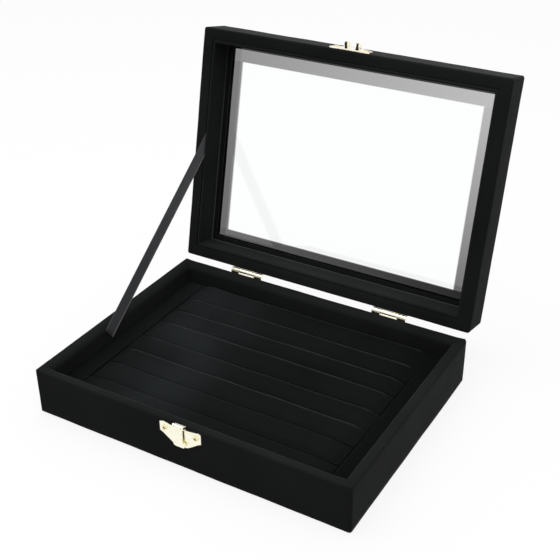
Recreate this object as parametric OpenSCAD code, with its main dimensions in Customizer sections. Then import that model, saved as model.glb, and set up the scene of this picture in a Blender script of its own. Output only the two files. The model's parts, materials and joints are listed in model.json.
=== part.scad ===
/* [Base box] */
// Width of the box, left to right
box_w = 200; // [180:1:240]
// Depth of the box, front to back
box_d = 149; // [140:1:180]
// Height of the base, from its underside to its rim
base_h = 29.5; // [27:0.5:36]
// Thickness of a wall with the velvet on both of its faces
wall_t = 7; // [6.5:0.5:9]
// Thickness of the glued velvet
velvet_t = 0.7; // [0.5:0.1:1]
// Radius of the upright outer corners
corner_r = 1.5; // [1:0.1:1.6]
// Rounding of the base rim on its outer edge
rim_outer_r = 1.2; // [1.1:0.1:1.6]
// Rounding of the base rim on its padded inner edge
rim_inner_r = 3; // [1.5:0.1:3.5]
// Thickness of the sheet glued under the base
underside_t = 0.6; // [0.4:0.1:1]
// Distance from the outer faces to the edge of the underside sheet
underside_inset = 1; // [0.8:0.1:3]
// Thickness of the floor board
floor_t = 2.5; // [2:0.1:3.5]

/* [Ring insert] */
// Thickness of the board under the ring rolls
tray_t = 2; // [1.5:0.1:3]
// Clearance round the board of the ring insert
tray_gap = 0.3; // [0.2:0.05:0.6]
// Height of the ring rolls
roll_h = 13.5; // [12:0.1:17.5]
// Distance from the ends of the ring rolls to the side walls
roll_end_space = 12.5; // [7:0.5:18]
// Gap between two ring rolls, and from the outer rolls to the walls
roll_gap = 0.3; // [0.3:0.05:0.6]
// Rounding of the two shoulders of a roll
roll_shoulder_r = 2.2; // [2.2:0.1:4]
// Height of the crown of a roll over its shoulders
roll_crown = 1; // [0.6:0.1:2]
// Rounding of the ends of the rolls
roll_end_r = 2; // [1.2:0.1:2.1]
// Height of the padded cheeks, which fill the space between the rolls and the side walls
cheek_h = 12.6; // [11:0.1:16.5]
// Distance from the ends of the padded cheeks to the front and back walls
cheek_end_space = 1.5; // [1.5:0.5:12]

/* [Lid] */
// Height of the lid, from its rim to its top
lid_h = 21.5; // [19:0.5:28]
// Gap between the two rims when the lid is shut
seam_gap = 0.3; // [0.2:0.05:0.5]
// Opening angle of the lid in the photographed pose
open_angle = 102.5; // [60:0.5:110]
// Width of the border round the window
border_w = 12.2; // [11:0.1:16]
// Thickness of the border, velvet and board together
border_t = 3.2; // [2.6:0.1:4]
// Rounding of the outer edges of the lid
lid_edge_r = 1.2; // [1.1:0.1:1.6]
// Thickness of the glass pane
glass_t = 2; // [1.6:0.1:3]
// Clearance round the glass pane
glass_gap = 0.2; // [0.1:0.05:0.5]
// Thickness of the liner strips that hold the glass
liner_t = 2; // [1.6:0.1:2.6]
// Rounding of the liner strips at the rim
liner_r = 0.9; // [0.4:0.1:0.9]

/* [Hinges] */
// Centre of the left hinge, from the middle of the box
hinge_left_x = -52.5; // [-62:0.5:-30]
// Centre of the right hinge, from the middle of the box
hinge_right_x = 49; // [30:0.5:62]
// Length of each hinge
hinge_len = 22.5; // [20:0.5:26]
// Height of each hinge leaf, from the pin
leaf_h = 11; // [10:0.1:12]
// Thickness of the hinge leaves
leaf_t = 0.7; // [0.5:0.05:0.8]
// Outer diameter of the hinge barrel
barrel_d = 3.2; // [3:0.1:3.4]
// Diameter of the hinge pins
hinge_pin_d = 1.3; // [1:0.1:1.6]
// Distance of the hinge pins behind the box
pin_back = 1.8; // [1.75:0.05:2.2]
// Height of the hinge pins over the base rim
pin_rise = 0.85; // [0.5:0.05:1.2]
// Length of the middle knuckle
middle_knuckle = 11.3; // [9:0.1:12]
// Distance of the screws from the middle of a hinge
hinge_screw_x = 7; // [5:0.1:7.5]

/* [Latch] */
// Width of the winged latch plates
wing_w = 26; // [24:0.5:30]
// Height of the winged latch plates
wing_h = 12.4; // [12:0.1:14]
// Thickness of the latch plates
plate_t = 0.8; // [0.6:0.05:0.9]
// Distance of the latch screws from the middle
latch_screw_x = 9.8; // [9:0.1:10.2]
// Width of the knuckle row of the latch
latch_row_w = 6.8; // [6.4:0.1:7.4]
// Diameter of the knuckles of the latch
latch_barrel_d = 2.2; // [2:0.1:2.3]
// Diameter of the latch pin
latch_pin_d = 1; // [0.8:0.05:1.2]
// Distance of the latch pin in front of the box
latch_pin_out = 2; // [1.95:0.05:2.3]
// Length of the neck of the tongue, from its pin
neck_len = 9.8; // [9.8:0.1:10.6]
// Width of the neck of the tongue
neck_w = 4.2; // [3.6:0.1:4.3]
// Width of the head of the tongue
head_w = 7.4; // [7:0.1:8.2]
// Height of the head of the tongue
head_h = 3.2; // [2.8:0.1:3.4]
// Thickness of the tongue
tongue_t = 0.8; // [0.6:0.05:0.9]
// Height of the catch loops over the catch plate
loop_out = 4; // [3:0.1:4.1]
// Length of the catch loops along the lid wall
loop_len = 4; // [3:0.1:4.1]
// Distance from the lid rim to the catch loops
loop_rise = 4.5; // [3.8:0.1:4.5]
// Thickness of the metal of the catch loops
loop_t = 0.6; // [0.5:0.05:0.7]

/* [Screws] */
// Diameter of the screw shanks
shank_d = 1.5; // [1.2:0.1:1.7]
// Diameter of the screw heads
head_d = 3.2; // [2.8:0.1:3.4]
// Height of the screw heads
head_rise = 0.7; // [0.5:0.05:0.9]
// Length of the screw shanks
shank_len = 5; // [4:0.1:5.5]

/* [Ribbon stay] */
// Width of the ribbon
ribbon_w = 10; // [8:0.5:12]
// Thickness of the ribbon
ribbon_t = 0.4; // [0.3:0.05:0.5]
// Distance from the front of the base to the glued foot of the ribbon
ribbon_foot_y = 57; // [50:1:66]
// Height of the foot of the ribbon under the base rim
ribbon_foot_drop = 6; // [5:0.5:8]
// Distance from the front of the lid to the glued head of the ribbon
ribbon_head_y = 69.5; // [60:0.5:78]
// Depth of the head of the ribbon inside the lid rim
ribbon_head_in = 4; // [3:0.5:6]

/* [Hidden] */
$fn = 64;
// Clearance of a pin in its own part and in the part that turns on it
pin_fit = 0.02;
pin_run = 0.04;
// Clearance of the knuckles and of other small neighbours
side_gap = 0.15;
// Length by which a cutting piece runs past the work
over = 1;
roll_count = 8;
// Size of the cross cut in a screw head
cross_len = 1.9;
cross_w = 0.5;
cross_deep = 0.35;

// Places on the base
board_w = box_w - 2 * velvet_t;
board_d = box_d - 2 * velvet_t;
half_w = box_w / 2;
half_d = box_d / 2;
floor_top = underside_t + floor_t;
tray_top = floor_top + tray_t;
cavity_w = box_w - 2 * wall_t;
cavity_d = box_d - 2 * wall_t;
roll_pitch = (cavity_d - roll_gap) / roll_count;
roll_w = roll_pitch - roll_gap;
roll_len = cavity_w - 2 * roll_end_space;
cheek_len = cavity_d - 2 * cheek_end_space;
// The arc of the crown runs into both shoulders
roll_shoulder_x = roll_w / 2 - roll_shoulder_r;
roll_crown_r = roll_shoulder_r + (pow(roll_shoulder_x, 2) + pow(roll_crown, 2)) / (2 * roll_crown);

// Places on the shut lid
lid_z = base_h + seam_gap;
glass_top = lid_h - border_t;
window_w = box_w - 2 * border_w;
window_d = box_d - 2 * border_w;
glass_z = glass_top - glass_t;
liner_reach = wall_t + liner_t + over;
ribbon_side = 0.1;
ribbon_slot = ribbon_t + 2 * ribbon_side;
cheek_t = roll_end_space - ribbon_slot - roll_gap;
hinge_y = half_d + pin_back;
hinge_z = base_h + pin_rise;
// Distance from the edge of a hinge leaf to its screws
leaf_screw_edge = 4;
leaf_screw_h = leaf_h - leaf_screw_edge;

// Places of the latch, with its pin in front of the seam
latch_under_rim = 0.1;
latch_z = base_h - latch_under_rim;
wing_drop = 1.3;
wing_bottom_w = 7;
wing_tip_h = 6.4;
wing_cut = 2;
wing_dip = 0.8;
wing_dip_w = 8;
plate_screw_drop = 5;
catch_rise = 1.2;
neck_gap = 0.45;
loop_w = 2.3;
loop_x = neck_w / 2 + neck_gap + loop_w / 2;

// The ribbon lies flat against the left wall, straight from its foot to its head
ribbon_x = -half_w + wall_t + ribbon_side;
foot = [-half_d + ribbon_foot_y, base_h - ribbon_foot_drop];
head_shut = [-half_d + ribbon_head_y - hinge_y, lid_z + ribbon_head_in - hinge_z];
head = [hinge_y + head_shut[0] * cos(open_angle) + head_shut[1] * sin(open_angle),
        hinge_z - head_shut[0] * sin(open_angle) + head_shut[1] * cos(open_angle)];
ribbon_run = norm(head - foot);
ribbon_slope = atan2(head[1] - foot[1], head[0] - foot[0]);

// Every piece, base first

velvet = [0.11, 0.11, 0.12];
board = [0.72, 0.60, 0.44];
brass = [0.90, 0.83, 0.60];

// A quarter of a square that a rounding of radius r takes off a corner
module corner_waste(r) {
    difference() {
        square(r);
        circle(r);
    }
}

// Upright outline of a block, with its two upper corners rounded
module dome(span, height, r) {
    difference() {
        translate([-span / 2, 0]) square([span, height]);
        for (s = [0, 1]) mirror([s, 0]) translate([span / 2 - r, height - r]) corner_waste(r);
    }
}

// Upright outline of a hollow, with a mouth that widens by r on each side
module mouth(span, height, r) {
    translate([-span / 2, 0]) square([span, height + over]);
    for (s = [0, 1]) mirror([s, 0]) translate([span / 2 + r, height - r]) mirror([1, 0]) corner_waste(r);
}

// The room that two extrusions share, so that edge roundings meet in mitres
module domed_block(w, d, height, r) {
    intersection() {
        rotate([90, 0, 0]) linear_extrude(d, center = true) dome(w, height, r);
        rotate([90, 0, 90]) linear_extrude(w, center = true) dome(d, height, r);
    }
}

module flared_hollow(w, d, height, r) {
    intersection() {
        rotate([90, 0, 0]) linear_extrude(d + 2 * r, center = true) mouth(w, height, r);
        rotate([90, 0, 90]) linear_extrude(w + 2 * r, center = true) mouth(d, height, r);
    }
}

module centred_block(w, d, low, high) {
    translate([-w / 2, -d / 2, low]) cube([w, d, high - low]);
}

module upside_down(height) {
    translate([0, 0, height]) mirror([0, 0, 1]) children();
}

module rounded_block(w, d, h, r) {
    linear_extrude(h) {
        square([w - 2 * r, d], center = true);
        square([w, d - 2 * r], center = true);
        for (x = [-1, 1], y = [-1, 1])
            translate([x * (w / 2 - r), y * (d / 2 - r)]) circle(r);
    }
}

// The part of a frame that lies on one side, between its two mitres
module side_room(w, d, reach, height) {
    translate([0, 0, -over]) linear_extrude(height + 2 * over)
        polygon([[-w / 2, -d / 2], [w / 2, -d / 2],
                 [w / 2 - reach, -d / 2 + reach], [-w / 2 + reach, -d / 2 + reach]]);
}

module front_side(reach, height) {
    intersection() {
        children();
        side_room(box_w, box_d, reach, height);
    }
}

module back_side(reach, height) {
    intersection() {
        children();
        mirror([0, 1, 0]) side_room(box_w, box_d, reach, height);
    }
}

module left_side(reach, height) {
    intersection() {
        children();
        rotate([0, 0, -90]) side_room(box_d, box_w, reach, height);
    }
}

module right_side(reach, height) {
    intersection() {
        children();
        mirror([1, 0, 0]) rotate([0, 0, -90]) side_room(box_d, box_w, reach, height);
    }
}

// A shut lid piece, turned about the hinge pins to the photographed pose
module at_lid() {
    translate([0, hinge_y, hinge_z]) rotate([-open_angle, 0, 0])
        translate([0, -hinge_y, -hinge_z]) children();
}

// Faces of the base and of the shut lid that take the fittings: x along, y up, z outward
module on_front(z) {
    translate([0, -half_d, z]) rotate([90, 0, 0]) children();
}

module on_back(x, z) {
    translate([x, half_d, z]) rotate([90, 0, 180]) children();
}

// Walls of the base, velvet and board together, and the boards alone
module base_walls() {
    difference() {
        intersection() {
            domed_block(box_w, box_d, base_h, rim_outer_r);
            rounded_block(box_w, box_d, base_h, corner_r);
        }
        flared_hollow(cavity_w, cavity_d, base_h, rim_inner_r);
    }
}

module base_boards() {
    board_h = base_h - velvet_t;
    difference() {
        domed_block(board_w, board_d, board_h, rim_outer_r - velvet_t);
        flared_hollow(cavity_w + 2 * velvet_t, cavity_d + 2 * velvet_t, board_h, rim_inner_r - velvet_t);
        centred_block(board_w, board_d, -over, floor_top);
    }
}

// Walls and window border of the lid, with the rim on z = 0
module lid_walls() {
    difference() {
        intersection() {
            domed_block(box_w, box_d, lid_h, lid_edge_r);
            upside_down(lid_h) domed_block(box_w, box_d, lid_h, lid_edge_r);
            rounded_block(box_w, box_d, lid_h, corner_r);
        }
        upside_down(glass_top) flared_hollow(cavity_w, cavity_d, glass_top, velvet_t);
        translate([0, 0, glass_top - over])
            flared_hollow(window_w, window_d, border_t + over, lid_edge_r);
    }
}

module lid_wall_boards() {
    difference() {
        centred_block(board_w, board_d, velvet_t, glass_top);
        centred_block(cavity_w + 2 * velvet_t, cavity_d + 2 * velvet_t, 0, lid_h);
    }
}

module lid_border_board() {
    difference() {
        centred_block(board_w, board_d, glass_top, lid_h - velvet_t);
        centred_block(window_w + 2 * velvet_t, window_d + 2 * velvet_t, 0, lid_h);
    }
}

// All four liner strips as one ring, with a soft inner edge at the rim
module liner_ring() {
    difference() {
        centred_block(cavity_w, cavity_d, 0, glass_z);
        upside_down(glass_z + over)
            flared_hollow(cavity_w - 2 * liner_t, cavity_d - 2 * liner_t, glass_z + over, liner_r);
    }
}

// Screws, standing on z = 0 with their shanks below it
module screw() {
    difference() {
        cylinder(d = head_d, h = head_rise);
        for (a = [0, 90]) rotate(a)
            translate([-cross_len / 2, -cross_w / 2, head_rise - cross_deep])
                cube([cross_len, cross_w, cross_deep + over]);
    }
    translate([0, 0, -shank_len]) cylinder(d = shank_d, h = shank_len);
}

module screw_hole() {
    translate([0, 0, -shank_len - side_gap]) cylinder(d = shank_d + 2 * pin_fit, h = shank_len + over);
}

module hinge_screw_places(x, side) {
    for (s = [-1, 1])
        on_back(x + s * hinge_screw_x, hinge_z + side * leaf_screw_h) translate([0, 0, leaf_t]) children();
}

module base_hinge_screw_places() {
    for (x = [hinge_left_x, hinge_right_x]) hinge_screw_places(x, -1) children();
}

module lid_hinge_screw_places() {
    for (x = [hinge_left_x, hinge_right_x]) hinge_screw_places(x, 1) children();
}

module latch_screw_places() {
    for (s = [-1, 1])
        on_front(base_h - plate_screw_drop) translate([s * latch_screw_x, 0, plate_t]) children();
}

module catch_screw_places() {
    for (s = [-1, 1])
        on_front(lid_z + plate_screw_drop) translate([s * latch_screw_x, 0, plate_t]) children();
}

module base_screw_holes() {
    base_hinge_screw_places() screw_hole();
    latch_screw_places() screw_hole();
}

module lid_screw_holes() {
    lid_hinge_screw_places() screw_hole();
    catch_screw_places() screw_hole();
}

// Base
module base_cover() {
    color(velvet) difference() {
        base_walls();
        base_boards();
        centred_block(board_w, board_d, -over, floor_top);
        centred_block(box_w + 2 * over, box_d + 2 * over, -over, underside_t);
        base_screw_holes();
    }
}

module base_underside() {
    color(velvet)
        rounded_block(box_w - 2 * underside_inset, box_d - 2 * underside_inset, underside_t, corner_r);
}

module base_floor() {
    color(board) centred_block(board_w, board_d, underside_t, floor_top);
}

module base_front_board() {
    color(board) difference() {
        front_side(wall_t, base_h) base_boards();
        base_screw_holes();
    }
}

module base_back_board() {
    color(board) difference() {
        back_side(wall_t, base_h) base_boards();
        base_screw_holes();
    }
}

module base_left_board() {
    color(board) left_side(wall_t, base_h) base_boards();
}

module base_right_board() {
    color(board) right_side(wall_t, base_h) base_boards();
}

// Ring insert
module tray_board() {
    color(velvet) translate([-cavity_w / 2 + tray_gap, -cavity_d / 2 + tray_gap, floor_top])
        cube([cavity_w - 2 * tray_gap, cavity_d - 2 * tray_gap, tray_t]);
}

module tray_cheek() {
    color(velvet) translate([-cavity_w / 2 + ribbon_slot, -cheek_len / 2, tray_top])
        rotate([90, 0, 90]) linear_extrude(cheek_t) square([cheek_len, cheek_h]);
}

module tray_cheek_left() {
    tray_cheek();
}

module tray_cheek_right() {
    mirror([1, 0, 0]) tray_cheek();
}

// Section of a ring roll, drawn in by inset: a low crown between two round shoulders
module roll_section(inset) {
    shoulder_z = roll_h - roll_crown - roll_shoulder_r;
    intersection() {
        translate([0, roll_h - roll_crown_r]) circle(roll_crown_r - inset, $fn = 72);
        translate([-roll_shoulder_x, 0]) square([2 * roll_shoulder_x, roll_h]);
    }
    for (s = [-1, 1])
        translate([s * roll_shoulder_x, shoulder_z]) circle(roll_shoulder_r - inset, $fn = 24);
    translate([-roll_w / 2 + inset, 0]) square([roll_w - 2 * inset, shoulder_z]);
}

// A velvet roll of foam, with rounded ends
module ring_roll(index) {
    y = -cavity_d / 2 + roll_gap + roll_w / 2 + (index - 1) * roll_pitch;
    color(velvet) translate([0, y, tray_top]) rotate([90, 0, 90])
        hull() for (a = [0, 30, 60, 90]) {
            length = roll_len - 2 * roll_end_r * (1 - cos(90 - a));
            translate([0, 0, -length / 2]) linear_extrude(length) roll_section(roll_end_r * (1 - cos(a)));
        }
}

module ring_roll_1() { ring_roll(1); }
module ring_roll_2() { ring_roll(2); }
module ring_roll_3() { ring_roll(3); }
module ring_roll_4() { ring_roll(4); }
module ring_roll_5() { ring_roll(5); }
module ring_roll_6() { ring_roll(6); }
module ring_roll_7() { ring_roll(7); }
module ring_roll_8() { ring_roll(8); }

// Lid
module lid_cover() {
    color(velvet) at_lid() difference() {
        translate([0, 0, lid_z]) difference() {
            lid_walls();
            lid_wall_boards();
            lid_border_board();
        }
        lid_screw_holes();
    }
}

module lid_border() {
    color(board) at_lid() translate([0, 0, lid_z]) lid_border_board();
}

module lid_front_board() {
    color(board) at_lid() difference() {
        translate([0, 0, lid_z]) front_side(wall_t, lid_h) lid_wall_boards();
        lid_screw_holes();
    }
}

module lid_back_board() {
    color(board) at_lid() difference() {
        translate([0, 0, lid_z]) back_side(wall_t, lid_h) lid_wall_boards();
        lid_screw_holes();
    }
}

module lid_left_board() {
    color(board) at_lid() translate([0, 0, lid_z]) left_side(wall_t, lid_h) lid_wall_boards();
}

module lid_right_board() {
    color(board) at_lid() translate([0, 0, lid_z]) right_side(wall_t, lid_h) lid_wall_boards();
}

module glass_pane() {
    color([0.8, 0.85, 0.85, 0.4]) at_lid() translate([0, 0, lid_z])
        centred_block(cavity_w - 2 * glass_gap, cavity_d - 2 * glass_gap, glass_z, glass_top);
}

module lid_liner_front() {
    color(velvet) at_lid() translate([0, 0, lid_z]) front_side(liner_reach, lid_h) liner_ring();
}

module lid_liner_back() {
    color(velvet) at_lid() translate([0, 0, lid_z]) back_side(liner_reach, lid_h) liner_ring();
}

module lid_liner_left() {
    color(velvet) at_lid() translate([0, 0, lid_z]) difference() {
        left_side(liner_reach, lid_h) liner_ring();
        translate([-half_w, -half_d, -over]) cube([wall_t + ribbon_slot, box_d, lid_h]);
    }
}

module lid_liner_right() {
    color(velvet) at_lid() translate([0, 0, lid_z]) right_side(liner_reach, lid_h) liner_ring();
}

// Hinges: the barrel runs along x, and side is -1 for the leaf on the base, 1 for the lid
module leaf(x, side) {
    outer_len = (hinge_len - middle_knuckle) / 2;
    relief = barrel_d / 2 + side_gap;
    fit = side < 0 ? pin_fit : pin_run;
    difference() {
        union() {
            translate([x, hinge_y, hinge_z]) rotate([0, 90, 0])
                cylinder(d = barrel_d, h = hinge_len, center = true);
            translate([x - hinge_len / 2, half_d, side < 0 ? hinge_z - leaf_h : hinge_z])
                cube([hinge_len, leaf_t, leaf_h]);
        }
        if (side < 0)
            knuckle_waste(x, middle_knuckle, relief);
        else
            for (s = [-1, 1])
                knuckle_waste(x + s * (middle_knuckle + outer_len + over) / 2, outer_len + over, relief);
        translate([x, hinge_y, hinge_z]) rotate([0, 90, 0])
            cylinder(d = hinge_pin_d + 2 * fit, h = hinge_len + over, center = true);
        hinge_screw_places(x, side) screw_hole();
    }
}

// Room for the other leaf's knuckle
module knuckle_waste(x, length, relief) {
    gap = side_gap / 2;
    translate([x - length / 2 - gap, hinge_y - 2 * relief, hinge_z - relief])
        cube([length + 2 * gap, 4 * relief, 2 * relief]);
}

module hinge_pin(x) {
    color(brass) translate([x, hinge_y, hinge_z]) rotate([0, 90, 0])
        cylinder(d = hinge_pin_d, h = hinge_len, center = true);
}

module hinge_left_base_leaf() { color(brass) leaf(hinge_left_x, -1); }
module hinge_left_lid_leaf() { color(brass) at_lid() leaf(hinge_left_x, 1); }
module hinge_left_pin() { hinge_pin(hinge_left_x); }
module hinge_right_base_leaf() { color(brass) leaf(hinge_right_x, -1); }
module hinge_right_lid_leaf() { color(brass) at_lid() leaf(hinge_right_x, 1); }
module hinge_right_pin() { hinge_pin(hinge_right_x); }
module hinge_base_screws() { color(brass) base_hinge_screw_places() screw(); }
module hinge_lid_screws() { color(brass) at_lid() lid_hinge_screw_places() screw(); }

// Outline of the winged plates, with y running away from the seam
module wing_outline() {
    tip = wing_w / 2;
    low = wing_bottom_w / 2;
    for (s = [0, 1]) mirror([s, 0])
        polygon([[0, wing_dip], [wing_dip_w / 2, wing_dip], [tip - wing_cut, 0],
                 [tip, wing_cut / 4], [tip, wing_tip_h], [tip - wing_cut, wing_tip_h + wing_cut / 2],
                 [low + wing_cut, wing_h - wing_cut / 2], [low, wing_h], [0, wing_h]]);
}

// Pin of the latch, along x in front of the seam
module latch_axis() {
    translate([0, -half_d - latch_pin_out, latch_z]) rotate([0, 90, 0]) children();
}

module latch_plate() {
    color(brass) difference() {
        union() {
            on_front(base_h - wing_drop) mirror([0, 1, 0]) linear_extrude(plate_t) wing_outline();
            latch_axis() cylinder(d = latch_barrel_d, h = latch_row_w, center = true);
            on_front(latch_z - latch_barrel_d) translate([-latch_row_w / 2, 0, 0])
                cube([latch_row_w, latch_barrel_d, plate_t]);
            on_front(latch_z - latch_barrel_d / 2) translate([-latch_row_w / 2, 0, 0])
                cube([latch_row_w, latch_barrel_d / 2, latch_pin_out]);
        }
        latch_middle_waste();
        latch_axis() cylinder(d = latch_pin_d + 2 * pin_fit, h = latch_row_w + over, center = true);
        latch_screw_places() screw_hole();
    }
}

// Room for the knuckle of the tongue
module latch_middle_waste() {
    width = neck_w + 2 * side_gap;
    on_front(latch_z) translate([-width / 2, -latch_barrel_d, plate_t])
        cube([width, 2 * latch_barrel_d, 2 * latch_pin_out]);
}

module latch_pin() {
    color(brass) latch_axis() cylinder(d = latch_pin_d, h = latch_row_w, center = true);
}

// The tongue hangs from its pin, with its head at the lower end
module latch_tongue() {
    color(brass) difference() {
        union() {
            latch_axis() cylinder(d = latch_barrel_d, h = neck_w, center = true);
            on_front(latch_z) translate([0, 0, latch_pin_out - tongue_t / 2])
                mirror([0, 1, 0]) linear_extrude(tongue_t) tongue_outline();
        }
        latch_axis() cylinder(d = latch_pin_d + 2 * pin_run, h = neck_w + over, center = true);
    }
}

module tongue_outline() {
    translate([-neck_w / 2, 0]) square([neck_w, neck_len + head_h / 2]);
    translate([-head_w / 2 + head_h / 2, neck_len]) square([head_w - head_h, head_h]);
    for (s = [-1, 1])
        translate([s * (head_w - head_h) / 2, neck_len + head_h / 2]) circle(head_h / 2);
}

module latch_screws() { color(brass) latch_screw_places() screw(); }

// Winged plate on the lid, with two loops that hold the neck of the tongue between them
module catch_plate() {
    color(brass) at_lid() difference() {
        union() {
            on_front(lid_z + catch_rise) linear_extrude(plate_t) wing_outline();
            for (s = [-1, 1])
                on_front(lid_z + loop_rise) translate([s * loop_x, 0, plate_t]) catch_loop();
        }
        catch_screw_places() screw_hole();
    }
}

// A bent strip, open along the lid wall
module catch_loop() {
    rotate([-90, 0, 0]) mirror([0, 1, 0]) linear_extrude(loop_len) difference() {
        loop_profile(loop_w, loop_out);
        loop_profile(loop_w - 2 * loop_t, loop_out - loop_t);
    }
}

module loop_profile(width, rise) {
    translate([-width / 2, 0]) square([width, rise - width / 2]);
    translate([0, rise - width / 2]) circle(width / 2);
}

module catch_screws() { color(brass) at_lid() catch_screw_places() screw(); }

// Ribbon
module ribbon_stay() {
    color([0.2, 0.2, 0.21]) translate([ribbon_x, foot[0], foot[1]]) rotate([ribbon_slope, 0, 0])
        translate([0, 0, -ribbon_w / 2]) cube([ribbon_t, ribbon_run, ribbon_w]);
}

base_cover();
base_underside();
base_floor();
base_front_board();
base_back_board();
base_left_board();
base_right_board();
tray_board();
tray_cheek_left();
tray_cheek_right();
ring_roll_1();
ring_roll_2();
ring_roll_3();
ring_roll_4();
ring_roll_5();
ring_roll_6();
ring_roll_7();
ring_roll_8();
lid_cover();
lid_border();
lid_front_board();
lid_back_board();
lid_left_board();
lid_right_board();
glass_pane();
lid_liner_front();
lid_liner_back();
lid_liner_left();
lid_liner_right();
hinge_left_base_leaf();
hinge_left_lid_leaf();
hinge_left_pin();
hinge_right_base_leaf();
hinge_right_lid_leaf();
hinge_right_pin();
hinge_base_screws();
hinge_lid_screws();
latch_plate();
latch_pin();
latch_tongue();
latch_screws();
catch_plate();
catch_screws();
ribbon_stay();
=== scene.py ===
"""A velvet ring display box with a glass lid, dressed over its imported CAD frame."""

import json
import math

import bmesh
import bpy
from bpy.props import FloatProperty, FloatVectorProperty, PointerProperty
from mathutils import Matrix, Vector, noise


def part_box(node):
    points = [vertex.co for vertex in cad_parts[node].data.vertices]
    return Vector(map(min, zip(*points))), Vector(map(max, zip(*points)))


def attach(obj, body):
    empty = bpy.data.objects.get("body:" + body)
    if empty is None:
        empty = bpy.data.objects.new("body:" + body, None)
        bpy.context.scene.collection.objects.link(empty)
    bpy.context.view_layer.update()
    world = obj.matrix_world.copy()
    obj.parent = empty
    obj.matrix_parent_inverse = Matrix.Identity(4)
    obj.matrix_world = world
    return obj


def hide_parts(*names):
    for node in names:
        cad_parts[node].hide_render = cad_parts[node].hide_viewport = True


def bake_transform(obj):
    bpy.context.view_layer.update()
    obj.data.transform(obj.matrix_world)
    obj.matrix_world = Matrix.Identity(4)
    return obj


bl_info = {
    "name": "Ring Display Box",
    "version": (1, 0, 0),
    "blender": (4, 5, 0),
    "location": "View3D > Sidebar > Ring Box",
    "description": "Builds the covers, rolls, ribbon, glass and fittings of a velvet ring box",
    "category": "Object",
}

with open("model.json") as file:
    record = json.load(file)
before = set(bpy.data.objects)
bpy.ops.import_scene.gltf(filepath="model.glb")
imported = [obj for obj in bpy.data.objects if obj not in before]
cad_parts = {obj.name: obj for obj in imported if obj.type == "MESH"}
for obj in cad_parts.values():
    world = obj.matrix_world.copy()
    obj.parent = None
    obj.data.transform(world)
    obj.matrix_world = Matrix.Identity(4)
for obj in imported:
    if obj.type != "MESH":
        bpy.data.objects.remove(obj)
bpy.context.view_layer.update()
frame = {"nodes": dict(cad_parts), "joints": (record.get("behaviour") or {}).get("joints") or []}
MM = 0.001
ROLLS = [f"ring_roll_{i}" for i in range(1, 9)]

# Sizes of the base, read from the frame
COVER_LOW, COVER_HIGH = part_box("base_cover")
BOARD_LOW, BOARD_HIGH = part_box("base_left_board")
HALF_W, HALF_D, BASE_H = COVER_HIGH
VELVET_T = BOARD_LOW.x - COVER_LOW.x
WALL_T = BOARD_HIGH.x - BOARD_LOW.x + 2 * VELVET_T
UNDERSIDE_T = COVER_LOW.z
FLOOR_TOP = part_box("base_floor")[1].z

# The lid is worked out shut and turned to its pose in the frame
LID_HINGE = next(j for j in frame["joints"] if j["name"] == "lid_hinge")
HINGE_AXIS = Matrix.Translation(LID_HINGE["pos_m"])
LID_ANGLE = math.radians(LID_HINGE["range_deg"][1])
LID_OPEN = HINGE_AXIS @ Matrix.Rotation(-LID_ANGLE, 4, "X") @ HINGE_AXIS.inverted()


def extent(points):
    """Lowest and highest corner of the box round some points."""
    return [Vector([pick(p[i] for p in points) for i in range(3)]) for pick in (min, max)]


def shut_box(node):
    """Lowest and highest corner of a lid node as if the lid were shut."""
    back = LID_OPEN.inverted()
    return extent([back @ v.co for v in frame["nodes"][node].data.vertices])


LID_LOW, LID_HIGH = shut_box("lid_cover")
GLASS_LOW, GLASS_HIGH = shut_box("glass_pane")
BORDER_UNDER = shut_box("lid_border")[0].z
LINER_LOW, LINER_HIGH = shut_box("lid_liner_right")
LINER_T = LINER_HIGH.x - LINER_LOW.x
LINER_LEFT_T = shut_box("lid_liner_left")[1].x - shut_box("lid_liner_left")[0].x

WINDOW_HALF_W = min(abs(v.co.x) for v in frame["nodes"]["lid_border"].data.vertices) - VELVET_T
BORDER_W = HALF_W - WINDOW_HALF_W
WINDOW_HALF_D = HALF_D - BORDER_W

# How far the border's cloth is turned in under the board, over the pane
SKIN_LAP = 0.12 * MM
# Rounding of the covers' edges and upright corners, and of the liner's lip
RIM_OUTER_R = 1.3 * MM
LID_EDGE_R = 1.3 * MM
CORNER_R = 1.5 * MM
LINER_R = 0.9 * MM
ARC_STEPS = 4
# The lapped cloth at a mitre: reach of its lip and half the breadth of its crease
FOLD_REACH = 2.2 * MM
CREASE_W = 0.45 * MM
# How far the velvet of the base and of the lid may rise into the gap between them
RIM_SWELL = 0.08 * MM
# How far the rolls and cheeks may rise over their solids
PAD_RISE = 0.3 * MM
# Zones of the pane: how softly the grey of the painted reflection begins, where the border's
# velvet begins before the window's edge, and how softly that does
GREY_FADE = 0.4 * MM
BORDER_START = 0.1 * MM
BORDER_FADE = 0.3 * MM
# Distance between the ribbon's ribs as drawn
RIB_STEP = 1.6 * MM
# Frames that the cloth solver runs
SWELL_FRAMES = 20


def clamp(value, low=0.0, high=1.0):
    return min(high, max(low, value))


def smooth(share):
    """A share from 0 to 1 with a soft start and end."""
    return share * share * (3 - 2 * share)


# Materials

# Sockets of a Mix node that mixes colours
MIX_FIRST, MIX_SECOND, MIX_RESULT = 6, 7, 2


def linear(hex_colour, alpha=1.0):
    """An sRGB hex colour as the linear values that a socket takes."""
    values = [int(hex_colour[i:i + 2], 16) / 255 for i in (0, 2, 4)]
    return (*[v / 12.92 if v <= 0.04045 else ((v + 0.055) / 1.055) ** 2.4 for v in values], alpha)


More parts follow.
